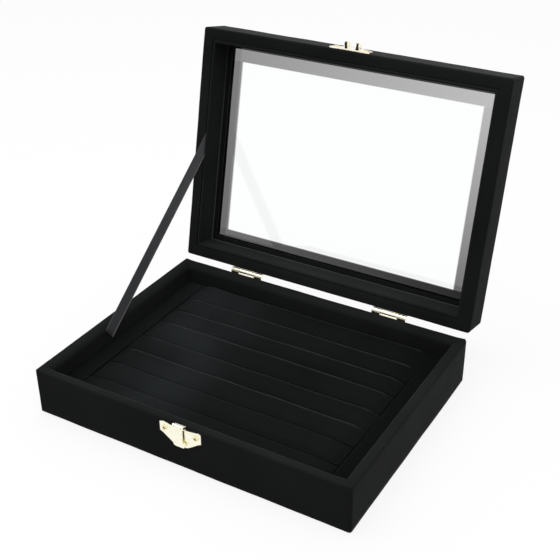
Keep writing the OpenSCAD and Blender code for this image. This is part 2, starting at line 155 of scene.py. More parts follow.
def add_node(material, kind, links=(), **settings):
    """A node with its settings; links are (input, node, output) and fill its inputs."""
    tree = material.node_tree
    made = tree.nodes.new(kind)
    for name, value in settings.items():
        if name in made.inputs:
            made.inputs[name].default_value = value
        elif hasattr(made, name):
            setattr(made, name, value)
        else:
            made.inputs[name.replace("_", " ")].default_value = value
    for socket, source, output in links:
        tree.links.new(source.outputs[output], made.inputs[socket])
    return made


def new_material(name, **sockets):
    """A material with its own shader set, and the object's coordinates for patterns."""
    made = bpy.data.materials.new(name)
    made.use_nodes = True
    shader = made.node_tree.nodes["Principled BSDF"]
    for socket, value in sockets.items():
        shader.inputs[socket.replace("_", " ")].default_value = value
    place = add_node(made, "ShaderNodeTexCoord")
    return made, shader, place


def ramp(material, source, output, dark, light, low=0.35, high=0.65):
    """A colour ramp between two hex colours over a noise value."""
    made = add_node(material, "ShaderNodeValToRGB", [("Fac", source, output)])
    made.color_ramp.elements[0].position = low
    made.color_ramp.elements[0].color = linear(dark)
    made.color_ramp.elements[1].position = high
    made.color_ramp.elements[1].color = linear(light)
    return made


def connect(material, source, output, target, socket):
    material.node_tree.links.new(source.outputs[output], target.inputs[socket])


def mix_colours(material, factor, first, second):
    """A mix of two ends, each a plain colour or the (node, output) that gives it."""
    made = add_node(material, "ShaderNodeMix", [("Factor", *factor)], data_type="RGBA")
    for socket, end in ((MIX_FIRST, first), (MIX_SECOND, second)):
        if len(end) == 2:
            connect(material, *end, made, socket)
        else:
            made.inputs[socket].default_value = end
    return made


def larger(owner, first, second):
    """The larger of two values, each a (node, output)."""
    return add_node(owner, "ShaderNodeMath", [(0, *first), (1, *second)], operation="MAXIMUM")


def seen_directly(owner, amount):
    """Amount where a ray comes from the camera, a mirror or through glass, and 0 elsewhere."""
    path = add_node(owner, "ShaderNodeLightPath")
    first = larger(owner, (path, "Is Camera Ray"), (path, "Is Glossy Ray"))
    both = larger(owner, (first, 0), (path, "Is Transmission Ray"))
    share = add_node(owner, "ShaderNodeMath", [(0, both, 0)], operation="MULTIPLY")
    share.inputs[1].default_value = amount
    return share


def pattern(material, place, size, detail, roughness):
    """Noise over the object's own coordinates, its spots about as wide as size."""
    return add_node(material, "ShaderNodeTexNoise", [("Vector", place, "Object")],
                    Scale=1 / size, Detail=detail, Roughness=roughness)


def emboss(material, shader, height, strength, depth):
    """Fine relief on a shader, from the values of a pattern."""
    bump = add_node(material, "ShaderNodeBump", [("Height", height, "Fac")],
                    Strength=strength, Distance=depth)
    connect(material, bump, "Normal", shader, "Normal")


def velvet_material(name, dark, light, sheen, marks=()):
    """Short-pile cotton velvet, dyed black: it drinks light face on, and its standing pile
    glows along every edge that turns away from the eye. Marks are the colours painted where a
    mesh's own "pile" colours say: a painted highlight, a painted lighter patch and painted shade."""
    made, shader, place = new_material(
        name, Roughness=0.95, IOR=1.45, Specular_IOR_Level=0.12,
        Sheen_Weight=sheen, Sheen_Roughness=0.22, Sheen_Tint=linear("E9EEEC"))
    # Patches 50 mm across, where the pile was brushed one way or the other
    brushed = pattern(made, place, 50 * MM, 1.5, 0.5)
    # Pile tufts of 0.25 mm, drawn at 0.7 mm so that they show
    tufts = pattern(made, place, 0.7 * MM, 3.0, 0.7)
    mixed = add_node(made, "ShaderNodeMix", [("A", brushed, "Fac"), ("B", tufts, "Fac")],
                     data_type="FLOAT", Factor=0.3)
    colour = ramp(made, mixed, "Result", dark, light), "Color"
    if marks:
        painted = add_node(made, "ShaderNodeVertexColor", layer_name="pile")
        channels = add_node(made, "ShaderNodeSeparateColor", [("Color", painted, "Color")])
        # Paint the marks over the velvet's colour: painted highlight, painted lighter patch,
        # painted shade
        for channel, mark in reversed(list(zip(("Red", "Green", "Blue"), marks))):
            painted_light = mix_colours(made, (channels, channel), colour, linear(mark))
            colour = painted_light, MIX_RESULT
    connect(made, *colour, shader, "Base Color")
    emboss(made, shader, tufts, 0.45, 0.25 * MM)


def brass_material(name, pale, deep, roughness):
    """Thin steel stampings, brass plated and tumbled bright: a pale mirror with soft wear."""
    made, shader, place = new_material(name, Metallic=1.0, Roughness=roughness)
    # Tumbling marks about 1.5 mm across
    marks = pattern(made, place, 1.5 * MM, 3.0, 0.5)
    colour = ramp(made, marks, "Fac", deep, pale, 0.3, 0.6)
    connect(made, colour, "Color", shader, "Base Color")
    rough = add_node(made, "ShaderNodeMapRange", [("Value", marks, "Fac")],
                     To_Min=roughness * 0.7, To_Max=roughness * 1.3)
    connect(made, rough, "Result", shader, "Roughness")
    emboss(made, shader, marks, 0.12, 0.1 * MM)


# Greys of the painted reflection along the pane's edge, from one end of each side to the other:
# a plain guess, lighter at the free right corner and darker at the hinges
PANE_REFLECTION_FRONT = ("8C8C8C", "BEBEBE")
PANE_REFLECTION_BACK = ("666666", "282828")
PANE_REFLECTION_LEFT = ("868686", "6E6E6E")
PANE_REFLECTION_RIGHT = ("BEBEBE", "606060")


def side_zone(material, split, axis, sign, edge, fade):
    """0 up to a distance from the pane's middle and 1 beyond it, on one side."""
    length = (GLASS_HIGH - GLASS_LOW)["XY".index(axis)]
    start = 0.5 + sign * edge / length
    return add_node(material, "ShaderNodeMapRange", [("Value", split, axis)],
                    From_Min=start, From_Max=start + sign * fade / length)


def float_glass_material():
    """Clear float glass, cut and wiped: the middle is clean, and a zone along the window's
    edge is painted grey, a painted reflection which stays where it is from every side."""
    settings = bpy.context.scene.ring_box_glass
    made, shader, place = new_material(
        "clear_float_glass", Roughness=0.0, IOR=1.5, Transmission_Weight=1.0)
    split = add_node(made, "ShaderNodeSeparateXYZ", [("Vector", place, "Generated")])
    colour, covered = linear("FEFFFF"), None
    # Side, the greys of its painted reflection and the share of the grey's width that it has
    sides = (("X", -1, PANE_REFLECTION_LEFT, 1.0), ("X", 1, PANE_REFLECTION_RIGHT, 0.88),
             ("Y", -1, PANE_REFLECTION_FRONT, 1.0), ("Y", 1, PANE_REFLECTION_BACK, 0.75))
    for across, sign, greys, share in sides:
        window, along = (WINDOW_HALF_W, "Y") if across == "X" else (WINDOW_HALF_D, "X")
        inner = window - settings.edge_width * share
        zone = side_zone(made, split, across, sign, inner, GREY_FADE)
        shade = ramp(made, split, along, *greys, 0.0, 1.0)
        colour = mix_colours(made, (zone, 0), colour, (shade, "Color")), MIX_RESULT
        zone = side_zone(made, split, across, sign, window - BORDER_START, BORDER_FADE)
        covered = larger(made, (zone, 0), (covered, 0)) if covered else zone
    # Over the border the pane shows the dark velvet that lies on it
    backed = mix_colours(made, (covered, 0), colour, linear("191A1B"))
    connect(made, backed, MIX_RESULT, shader, "Base Color")
    clear_share = add_node(made, "ShaderNodeMath", operation="SUBTRACT", links=[(1, covered, 0)])
    clear_share.inputs[0].default_value = 1
    connect(made, clear_share, 0, shader, "Transmission Weight")
    # Light reaches the velvet through the pane
    path = add_node(made, "ShaderNodeLightPath")
    passing = larger(made, (path, "Is Shadow Ray"), (path, "Is Diffuse Ray"))
    clear = add_node(made, "ShaderNodeBsdfTransparent")
    mix = add_node(made, "ShaderNodeMixShader", [(0, passing, 0), (1, shader, 0), (2, clear, 0)])
    connect(made, mix, 0, made.node_tree.nodes["Material Output"], 0)


def greyboard_material():
    """Pressed fibreboard, sawn: a dull brown-grey with short fibres."""
    made, shader, place = new_material("pressed_fibreboard", Roughness=0.85, IOR=1.5)
    fibres = pattern(made, place, 0.9 * MM, 4.0, 0.7)
    colour = ramp(made, fibres, "Fac", "8B7458", "B79C78")
    connect(made, colour, "Color", shader, "Base Color")
    emboss(made, shader, fibres, 0.3, 0.15 * MM)


def ribbon_material():
    """Woven polyester ribbon, black: fine cross ribs give it a soft silky grey."""
    settings = bpy.context.scene.ring_box_ribbon
    made, shader, place = new_material(
        "woven_polyester_ribbon", Roughness=0.6, IOR=1.45, Sheen_Weight=0.5,
        Sheen_Roughness=0.4, Sheen_Tint=linear("E4E4EA"))
    # Cross ribs 0.35 mm apart, drawn wider so that they show; a wave texture of scale 1 has
    # its bands pi / 10 apart
    ribs = add_node(made, "ShaderNodeTexWave", [("Vector", place, "UV")],
                    wave_type="BANDS", bands_direction="Y", Scale=1 / (RIB_STEP * 3.14),
                    Distortion=3.0, Detail=2.0)
    colour = mix_colours(made, (ribs, "Fac"), (*settings.dark, 1), (*settings.light, 1))
    connect(made, colour, MIX_RESULT, shader, "Base Color")
    emboss(made, shader, ribs, 0.15, 0.06 * MM)


def dress(node, material):
    """Gives a CAD node its material."""
    obj = frame["nodes"][node]
    obj.data.materials.clear()
    obj.data.materials.append(bpy.data.materials[material])
    return obj


# Meshes


def new_piece(name, bm, material, body, replaces=()):
    """An object on a body, with its material and the nodes it stands for."""
    mesh = bpy.data.meshes.new(name)
    bm.to_mesh(mesh)
    bm.free()
    obj = bpy.data.objects.new(name, mesh)
    bpy.context.scene.collection.objects.link(obj)
    mesh.materials.append(bpy.data.materials[material])
    mesh.shade_smooth()
    if body:
        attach(obj, body)
    if replaces:
        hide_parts(*replaces)
    return obj


def block(size):
    """A block about the origin."""
    bm = bmesh.new()
    bmesh.ops.create_cube(bm, size=1)
    for v in bm.verts:
        v.co = Vector([v.co[i] * size[i] for i in range(3)])
    return bm


def bridge(bm, pairs):
    """Faces between the two closed rings of every pair."""
    for a, b in pairs:
        for i in range(len(a)):
            j = (i + 1) % len(a)
            bm.faces.new((a[i], a[j], b[j], b[i]))


def spaced(length, step, fine, reach):
    """Places from -1 to 1 along a side: fine steps near its ends, coarser in the middle."""
    ends = [0.0]
    while ends[-1] < reach:
        ends.append(ends[-1] + fine * (1 + 1.2 * ends[-1] / reach))
    ends = [e / (length / 2) for e in ends if e < length / 2]
    count = max(2, round((length - 2 * ends[-1] * length / 2) / step))
    middle = [-1 + ends[-1] + (2 - 2 * ends[-1]) * i / count for i in range(1, count)]
    return [-1 + e for e in ends] + middle + [1 - e for e in reversed(ends)]


def frame_ring(inward, corner_r):
    """Points of the outline that lies inward from the box's own, with round corners."""
    points = []
    cut = max(corner_r, inward)
    r = max(corner_r - inward, 0)
    quarter = [math.pi / 2 * i / ARC_STEPS for i in range(1, ARC_STEPS)]
    for turn in range(4):
        along, out = (HALF_W, HALF_D) if turn % 2 == 0 else (HALF_D, HALF_W)
        spin = Matrix.Rotation(math.pi / 2 * turn, 2)
        for s in spaced(2 * along, 3.2 * MM, 0.5 * MM, 8 * MM):
            points.append(spin @ Vector((s * (along - cut), -(out - inward))))
        centre = Vector((along - cut, -(out - cut)))
        for a in quarter:
            points.append(spin @ (centre + Vector((math.sin(a), -math.cos(a))) * r))
    return points


def sweep_frame(profile, corner_r):
    """A closed frame: profile is a loop of (inward, height) that goes round the box."""
    bm = bmesh.new()
    rings = []
    for inward, height in profile:
        outline = frame_ring(inward, corner_r)
        rings.append([bm.verts.new((p.x, p.y, height)) for p in outline])
    bridge(bm, zip(rings, rings[1:] + rings[:1]))
    bmesh.ops.remove_doubles(bm, verts=bm.verts, dist=1e-6)
    bmesh.ops.recalc_face_normals(bm, faces=bm.faces)
    return bm


def curve_points(centre, radii, start, end, steps):
    """Points on an ellipse in a profile, from one angle to another in degrees."""
    made = []
    for i in range(steps + 1):
        a = math.radians(start + (end - start) * i / steps)
        made.append((centre[0] + radii[0] * math.cos(a), centre[1] + radii[1] * math.sin(a)))
    return made


def run(start, end, step=2.5 * MM):
    """Points between two profile points, without the first one."""
    a, b = Vector(start), Vector(end)
    count = max(1, round((b - a).length / step))
    return [tuple(a.lerp(b, i / count)) for i in range(1, count + 1)]


def steps(start, end, count):
    """Evenly spaced points from one profile point to another, with both."""
    return [tuple(Vector(start).lerp(Vector(end), i / count)) for i in range(count + 1)]


def soften(bm, amount, scale, seed):
    """Moves the skin in and out a little, as glued cloth over padding does."""
    bm.normal_update()
    shift = Vector((seed * 7.3, seed * 3.1, seed * 5.7))
    for v in bm.verts:
        broad = noise.noise(v.co / scale + shift)
        small = noise.noise(v.co / (scale / 4) + shift)
        v.co += v.normal * amount * (broad * 0.75 + small * 0.25)


def fold_corners(bm, height, lift):
    """Lapped cloth at the mitres of a rim: a crease on the diagonal with a lip on one side."""
    for v in bm.verts:
        near = clamp(1 - abs(v.co.z - height) / (4 * MM))
        from_x, from_y = HALF_W - abs(v.co.x), HALF_D - abs(v.co.y)
        if near == 0 or max(from_x, from_y) > 30 * MM:
            continue
        side = (from_x - from_y) / math.sqrt(2)
        crease = math.exp(-(side / CREASE_W) ** 2)
        lip = math.exp(-(side / FOLD_REACH) ** 2) if side > 0 else 0
        v.co.z += near * lift * (lip - 0.3 * crease)


def base_profile():
    """Loop round the base wall: up the outside, over the padded rim and down the inside."""
    outer = RIM_OUTER_R
    crown = BASE_H - 0.1 * MM
    pad = bpy.context.scene.ring_box_velvet.rim_pad
    points = [(VELVET_T, UNDERSIDE_T), (0.3 * MM, UNDERSIDE_T), (0, UNDERSIDE_T + 0.3 * MM)]
    points += run((0, UNDERSIDE_T + 0.3 * MM), (0, BASE_H - outer))
    points += curve_points((outer, BASE_H - outer), (outer, outer), 180, 90, 6)[1:]
    points += run((outer, BASE_H), (WALL_T - pad, crown), 0.6 * MM)
    points += curve_points((WALL_T - pad, crown - 0.9 * pad), (pad, 0.9 * pad), 90, 0, 10)[1:]
    points += run((WALL_T, crown - 0.9 * pad), (WALL_T, FLOOR_TOP))
    points += run((WALL_T, FLOOR_TOP), (VELVET_T, FLOOR_TOP))
    return points


def lid_profile():
    """Loop round the shut lid: rim, outer wall, top border, window edge and inner wall."""
    low, high = LID_LOW.z, LID_HIGH.z
    under = BORDER_UNDER - SKIN_LAP
    border = BORDER_W
    r, inner = LID_EDGE_R, VELVET_T
    points = curve_points((r, low + r), (r, r), 270, 180, 6)
    points += run((0, low + r), (0, high - r))
    points += curve_points((r, high - r), (r, r), 180, 90, 6)[1:]
    points += run((r, high), (border - r, high))
    points += curve_points((border - r, high - r), (r, r), 90, 0, 6)[1:]
    points += run((border, high - r), (border, under))
    points += run((border, under), (WALL_T, under))
    points += run((WALL_T, under), (WALL_T, low + inner))
    points += curve_points((WALL_T - inner, low + inner), (inner, inner), 0, -90, 4)[1:]
    points += run((WALL_T - inner, low), (r, low))[:-1]
    return points


def liner_profile(thickness):
    """Loop round a liner strip: it stands on the glass and has a soft lip at the rim."""
    a, b = WALL_T + LINER_T - thickness, WALL_T + LINER_T
    low, high = LID_LOW.z, GLASS_LOW.z
    r = LINER_R
    points = run((a, high), (a, low + r * 0.3))
    points += run((a, low + r * 0.3), (b - r, low), 0.5 * MM)
    points += curve_points((b - r, low + r), (r, r), 270, 360, 5)[1:]
    points += run((b, low + r), (b, high))
    points += run((b, high), (a, high))
    return points


def split_sides(bm, side):
    """Keeps the part of a frame that lies between its two mitres on one side."""
    for v in list(bm.verts):
        from_x, from_y = HALF_W - abs(v.co.x), HALF_D - abs(v.co.y)
        on_end = from_x < from_y - 1e-6
        on_long = from_y < from_x - 1e-6
        wrong = {
            "front": on_end or v.co.y > 0,
            "back": on_end or v.co.y < 0,
            "left": on_long or v.co.x > 0,
            "right": on_long or v.co.x < 0,
        }[side]
        if wrong:
            bm.verts.remove(v)
    bmesh.ops.holes_fill(bm, edges=[e for e in bm.edges if e.is_boundary])


def padded_slab(low, high, edge_r, step=4 * MM):
    """A slab with round edges and an even mesh, for covered boards and pads."""
    size, middle = high - low, (high + low) / 2
    bm = block(size)
    bmesh.ops.bevel(bm, geom=bm.edges[:], offset=edge_r, segments=4, profile=0.5,
                    affect="EDGES")
    for axis in range(3):
        normal = Vector([float(i == axis) for i in range(3)])
        count = max(1, int(size[axis] / step))
        for i in range(1, count):
            place = normal * (-size[axis] / 2 + size[axis] * i / count)
            geometry = bm.verts[:] + bm.edges[:] + bm.faces[:]
            bmesh.ops.bisect_plane(bm, geom=geometry, plane_co=place, plane_no=normal)
    for v in bm.verts:
        v.co += middle
    bmesh.ops.recalc_face_normals(bm, faces=bm.faces)
    return bm


def add_modifier(obj, kind, **settings):
    made = obj.modifiers.new(kind.title(), kind)
    for name, value in settings.items():
        setattr(made, name, value)
    return made


def apply_modifiers(obj):
    """Puts the mesh that the modifiers give in place of the object's own."""
    graph = bpy.context.evaluated_depsgraph_get()
    made = bpy.data.meshes.new_from_object(obj.evaluated_get(graph))
    old = obj.data
    obj.modifiers.clear()
    obj.data = made
    bpy.data.meshes.remove(old)


def swell(obj, pressure, cap):
    """Blows the cover of a pad out with the cloth solver, no further than cap at any point."""
    rest = [v.co.copy() for v in obj.data.vertices]
    low = min(p.z for p in rest)
    seat = obj.vertex_groups.new(name="seat")
    seat.add([i for i, p in enumerate(rest) if p.z < low + 1.5 * MM], 1.0, "REPLACE")
    cloth = obj.modifiers.new("Cloth", "CLOTH")
    cloth.settings.quality = 4
    cloth.settings.mass = 0.2
    cloth.settings.tension_stiffness = 12
    cloth.settings.compression_stiffness = 8
    cloth.settings.bending_stiffness = 0.4
    cloth.settings.vertex_group_mass = "seat"
    cloth.settings.use_pressure = True
    cloth.settings.uniform_pressure_force = pressure
    cloth.settings.effector_weights.gravity = 0
    cloth.collision_settings.use_collision = False
    cloth.point_cache.frame_start = 1
    cloth.point_cache.frame_end = SWELL_FRAMES
    scene = bpy.context.scene
    for i in range(1, SWELL_FRAMES + 1):
        scene.frame_set(i)
    graph = bpy.context.evaluated_depsgraph_get()
    blown = [v.co.copy() for v in obj.evaluated_get(graph).data.vertices]
    obj.modifiers.remove(cloth)
    scene.frame_set(1)
    for v, start, end in zip(obj.data.vertices, rest, blown):
        move = end - start
        if move.length > cap:
            move *= cap / move.length
        v.co = start + move
    obj.data.update()


def fill_pad(obj, cap):
    """Swells a pad with the cloth solver and makes its mesh finer."""
    swell(obj, bpy.context.scene.ring_box_rolls.pressure, cap)
    add_modifier(obj, "SUBSURF", levels=1, render_levels=1)
    apply_modifiers(obj)


# Settings that a user would change


def length(name, description, default, low, high):
    """A length to set, given here in mm."""
    return FloatProperty(name=name, description=description, unit="LENGTH",
                         default=default * MM, min=low * MM, max=high * MM)


def angle(name, description, default):
    """An angle to set, given here in degrees."""
    return FloatProperty(name=name, description=description, subtype="ANGLE",
                         default=math.radians(default))


def power(name, description, default):
    """A light's power to set, in watts."""
    return FloatProperty(name=name, description=description, subtype="POWER", default=default)


def colour(name, description, default):
    """A colour to set, given here as sRGB hex."""
    return FloatVectorProperty(name=name, description=description, subtype="COLOR", size=3,
                               default=linear(default)[:3])


class StageSettings(bpy.types.PropertyGroup):
    camera_place: FloatVectorProperty(
        name="Camera Place", description="Where the camera stands", subtype="XYZ",
        unit="LENGTH", default=(0.2624, -0.4163, 0.3660))
    camera_azimuth: angle("Azimuth", "Turn of the camera to the right of the front", 30.52)
    camera_elevation: angle("Elevation", "Tilt of the camera down to the box", 30.29)
    camera_roll: angle("Roll", "Turn of the camera about its own line of sight", -0.5)
    lens: FloatProperty(
        name="Lens", description="Focal length on a 36 mm sensor", default=66.56, min=20)
    top_light: power("Top Light", "Power of the soft light over the box", 5.0)
    side_light: power("Side Light", "Power of the soft light at the right front", 0.1)
    room_light: FloatProperty(
        name="Room Light", description="Strength of the even light of the room",
        default=0.75, min=0)
    floor_colour: colour("Floor Colour", "Colour of the floor", "F4F4F4")
    bounce_colour: colour("Bounce Colour", "Colour of the light that the floor throws back",
                          "6A6A6A")


class VelvetSettings(bpy.types.PropertyGroup):
    rim_pad: length("Rim Padding", "Width of the round inner edge of the base rim", 4, 2, 5)
    ripple: length("Ripple", "How far the glued velvet waves in and out", 0.18, 0, 0.4)
    fold: length("Corner Fold", "Height of the lapped velvet at a mitre", 0.7, 0, 1)


class RollSettings(bpy.types.PropertyGroup):
    middle_rise: length("Middle Rise", "Height of the middle of a roll over its edges",
                        0.25, 0, 1)
    lip: length("Back Lip", "Height of the back edge of a roll over its top", 0.6, 0, 1)
    shoulder: length("Shoulder", "Rounding of the edges of a roll", 1.0, 0.5, 3)
    slack: length("Slack", "Room round a roll before it is filled", 0.05, 0, 0.5)
    mesh_size: length("Mesh Size", "Size of the mesh that is filled", 2.4, 1, 4)
    end_round: length("End Rounding", "Rounding of the ends of a roll and of the cheeks",
                      0.25, 0.1, 1.2)
    pressure: FloatProperty(
        name="Pressure", description="Pressure that fills the rolls", default=4.0, min=0)
    swell_cap: length("Swell", "Most that the cover of a roll moves out", 0.35, 0, 1.5)


class GlassSettings(bpy.types.PropertyGroup):
    # Width of the painted reflection along the window's edge
    edge_width: length("Grey Edge", "Width of the grey zone along the window", 8, 0, 20)


class BrassSettings(bpy.types.PropertyGroup):
    edge_round: length("Edge Rounding", "Rounding of the stamped edges", 0.15, 0, 0.3)
    roughness: FloatProperty(
        name="Roughness", description="How dull the plating is", default=0.2, min=0, max=1)


class RibbonSettings(bpy.types.PropertyGroup):
    dark: colour("Dark Thread", "Colour between the ribs", "2E2F31")
    light: colour("Light Thread", "Colour of the ribs", "3A3B3D")


# Operators


class RINGBOX_OT_stage(bpy.types.Operator):
    """Camera, floor, room and lights"""
    bl_idname = "ring_box.stage"
    bl_label = "Stage"

    def execute(self, context):
        settings = context.scene.ring_box_stage
        self.camera(context, settings)
        self.floor(settings)
        self.room(context, settings)
        self.lamp("top_light", (-0.1, -0.1, 1.0), 0.9, settings.top_light)
        self.lamp("side_light", (0.75, -0.55, 0.45), 0.5, settings.side_light)
        context.scene.view_settings.view_transform = "Standard"
        return {"FINISHED"}

    def camera(self, context, settings):
        made = bpy.data.cameras.new("camera")
        made.lens = settings.lens
        made.sensor_width = 36
        made.clip_start, made.clip_end = 0.01, 50
        obj = bpy.data.objects.new("camera", made)
        context.scene.collection.objects.link(obj)
        a, e, roll = settings.camera_azimuth, settings.camera_elevation, settings.camera_roll
        back = Vector((math.sin(a) * math.cos(e), -math.cos(a) * math.cos(e), math.sin(e)))
        right = Vector((math.cos(a), math.sin(a), 0))
        up = back.cross(right)
        turned = right * math.cos(roll) + up * math.sin(roll)
        upright = up * math.cos(roll) - right * math.sin(roll)
        axes = Matrix((turned, upright, back)).transposed().to_4x4()
        obj.matrix_world = Matrix.Translation(settings.camera_place) @ axes
        context.scene.camera = obj

    def floor(self, settings):
        """A pale floor that shows as white and keeps the box's shadow."""
        made, shader = new_material("painted_floor", Roughness=0.8, Specular_IOR_Level=0.2)[:2]
        path = add_node(made, "ShaderNodeLightPath")
        colour = mix_colours(made, (path, "Is Diffuse Ray"), (*settings.floor_colour, 1),
                             (*settings.bounce_colour, 1))
        connect(made, colour, MIX_RESULT, shader, "Base Color")
        glow = add_node(made, "ShaderNodeEmission", Strength=1.0)
        share = seen_directly(made, 0.85)
        mix = add_node(made, "ShaderNodeMixShader",
                       [(0, share, 0), (1, shader, 0), (2, glow, 0)])
        connect(made, mix, 0, made.node_tree.nodes["Material Output"], 0)
        bm = bmesh.new()
        bmesh.ops.create_grid(bm, x_segments=8, y_segments=8, size=4)
        mesh = bpy.data.meshes.new("floor")
        bm.to_mesh(mesh)
        bm.free()
        obj = bpy.data.objects.new("floor", mesh)
        obj.location.z = -0.2 * MM
        bpy.context.scene.collection.objects.link(obj)
        mesh.materials.append(made)

    def room(self, context, settings):
        """White where it is seen, mirrored or looked at through glass, and softer as light."""
        world = bpy.data.worlds.new("room")
        context.scene.world = world
        world.use_nodes = True
        light = world.node_tree.nodes["Background"]
        seen = seen_directly(world, 1.0)
        strength = add_node(world, "ShaderNodeMapRange", [("Value", seen, 0)],
                            To_Min=settings.room_light, To_Max=1.0)
        connect(world, strength, "Result", light, "Strength")
        light.inputs["Color"].default_value = (1, 1, 1, 1)

    def lamp(self, name, place, size, power):
        made = bpy.data.lights.new(name, "AREA")
        made.shape = "SQUARE"
        made.size = size
        made.energy = power
        obj = bpy.data.objects.new(name, made)
        bpy.context.scene.collection.objects.link(obj)
        obj.location = place
        obj.rotation_euler = (-Vector(place)).to_track_quat("-Z", "Y").to_euler()


class RINGBOX_OT_base_cover(bpy.types.Operator):
    """Velvet over the walls of the base, padded at the rim and folded at the mitres"""
    bl_idname = "ring_box.base_cover"
    bl_label = "Base Cover"

    def execute(self, context):
        settings = context.scene.ring_box_velvet
        bm = sweep_frame(base_profile(), CORNER_R)
        fold_corners(bm, BASE_H, settings.fold)
        soften(bm, settings.ripple, 22 * MM, 1)
        # The shut lid rests just over the rim
        for v in bm.verts:
            v.co.z = min(v.co.z, BASE_H + RIM_SWELL)
        new_piece("base_velvet", bm, "black_cotton_velvet", "base",
                  ["base_cover"])
        return {"FINISHED"}


class RINGBOX_OT_underside(bpy.types.Operator):
    """Flocked paper glued under the base, and the boards inside the walls"""
    bl_idname = "ring_box.underside"
    bl_label = "Underside and Boards"

    def execute(self, context):
        low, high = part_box("base_underside")
        bm = padded_slab(low, high, 0.25 * MM, 12 * MM)
        new_piece("underside_flocking", bm, "flocked_paper", "base",
                  ["base_underside"])
        boards = [n for n in frame["nodes"] if n.endswith("_board") and n != "tray_board"]
        for name in boards + ["base_floor", "lid_border"]:
            dress(name, "pressed_fibreboard")
        return {"FINISHED"}


# The painted lighter patch on the insert, where light falls on it: its middle from the box's
# middle, how far it leans with the depth, its half breadth and the size of its unevenness
LIGHT_PATCH_X, LIGHT_PATCH_LEAN, LIGHT_PATCH_W, LIGHT_PATCH_SCALE = -48 * MM, 0.2, 30 * MM, 24 * MM
# The painted shade at an end of the insert: where it is full, and the length over which it fades
SHADE_FULL, SHADE_FADE = 9 * MM, 16 * MM


def paint_light_and_shade(obj):
    """Painted light and shade on the insert, as its "pile" colours: green for a painted lighter
    patch at the left, where light falls, blue for painted shade at both ends, and red left free
    for the painted highlight along the back edges."""
    pile = obj.data.color_attributes.new("pile", "FLOAT_COLOR", "POINT")
    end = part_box("tray_cheek_right")[1].x
    for v in obj.data.vertices:
        # Painted lighter patch, in the green of the "pile" colours
        light_patch = math.exp(-((v.co.x - LIGHT_PATCH_X + LIGHT_PATCH_LEAN * v.co.y) / LIGHT_PATCH_W) ** 2)
        light_patch *= 0.8 + 0.5 * noise.noise(v.co / LIGHT_PATCH_SCALE)
        # Painted shade at both ends, in the blue of the "pile" colours
        shade = 1 - clamp((end - abs(v.co.x) - SHADE_FULL) / SHADE_FADE)
        pile.data[v.index].color = (0, clamp(light_patch), shade * shade, 1)
    return pile


class RINGBOX_OT_insert(bpy.types.Operator):
    """Covered board of the ring insert and its padded cheeks"""
    bl_idname = "ring_box.insert"
    bl_label = "Ring Insert"

    # How far the cover of a cheek moves out when it is filled, and the height and length of
    # the waves along its top
    SWELL = 0.4 * MM
    WAVE_H, WAVE_L = 0.25 * MM, 18 * MM

    def execute(self, context):
        settings = context.scene.ring_box_rolls
        bm = padded_slab(*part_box("tray_board"), 0.8 * MM)
        soften(bm, 0.1 * MM, 14 * MM, 2)
        new_piece("tray_velvet", bm, "black_insert_velvet", "base",
                  ["tray_board"])
        for number, side in enumerate(("left", "right")):
            node = f"tray_cheek_{side}"
            low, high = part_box(node)
            top = high + Vector((0, 0, PAD_RISE))
            bm = padded_slab(low, top, settings.end_round, 3 * MM)
            piece = new_piece(f"cheek_{side}_pad", bm, "black_roll_velvet", None)
            fill_pad(piece, self.SWELL)
            for v in piece.data.vertices:
                wave = noise.noise(Vector((number * 3.7, v.co.y / self.WAVE_L, 0)))
                v.co.z += self.WAVE_H * wave * (v.co.z > high.z - 2 * MM)
                v.co = [clamp(v.co[i], low[i], top[i]) for i in range(3)]
            # Painted lighter patch and painted shade at the ends, as on the rolls
            paint_light_and_shade(piece)
            piece.data.shade_smooth()
            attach(piece, "base")
            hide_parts(node)
        return {"FINISHED"}


